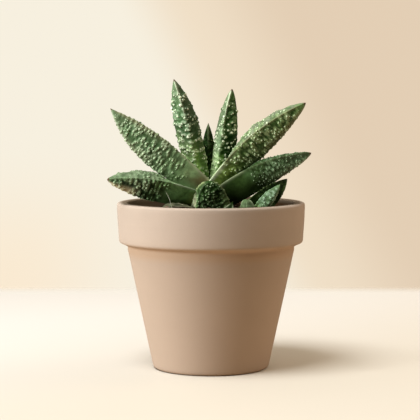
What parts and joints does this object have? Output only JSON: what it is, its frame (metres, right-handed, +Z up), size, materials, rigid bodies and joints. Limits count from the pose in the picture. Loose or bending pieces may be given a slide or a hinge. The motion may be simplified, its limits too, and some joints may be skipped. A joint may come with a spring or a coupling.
{
  "type": "potted gasteria",
  "caption": "Small gasteria succulent: a rosette of thick keeled leaves with young offsets, rooted in soil in a tapered clay pot with a wide straight rim band and a drainage hole.",
  "frame": {"origin": "centre of the pot's flat base, on the floor plane", "axes": "+Z up along the pot's axis; -Y is the front, the side with the short front leaf and the young offsets; +X is to the right seen from the front"},
  "size_m": [0.1057, 0.1, 0.1539],
  "materials": {
    "clay": "matte",
    "soil": "matte",
    "stem": "matte",
    "leaf": "satin",
    "young_leaf": "satin",
    "pebble": "matte",
    "fibre": "matte"
  },
  "bodies": {
    "root": {"pot": "clay", "soil": "soil", "stem_and_roots": "stem", "leaf_centre": "leaf", "leaf_centre_left": "leaf", "leaf_centre_right": "leaf", "leaf_back": "leaf", "leaf_upper_right": "leaf", "leaf_upper_left": "leaf", "leaf_back_left": "leaf", "leaf_back_right": "leaf", "leaf_lower_right": "leaf", "leaf_lower_left": "leaf", "leaf_front": "leaf", "leaf_old_left": "leaf", "offset_stem": "stem", "offset_leaf_inner": "young_leaf", "offset_leaf_outer": "young_leaf", "offset_leaf_round": "young_leaf", "offset_leaf_side": "young_leaf", "bud_stem": "stem", "bud_leaf_front": "young_leaf", "bud_leaf_back": "young_leaf", "pebble": "pebble", "dry_fibre": "fibre"}
  },
  "joints": []
}
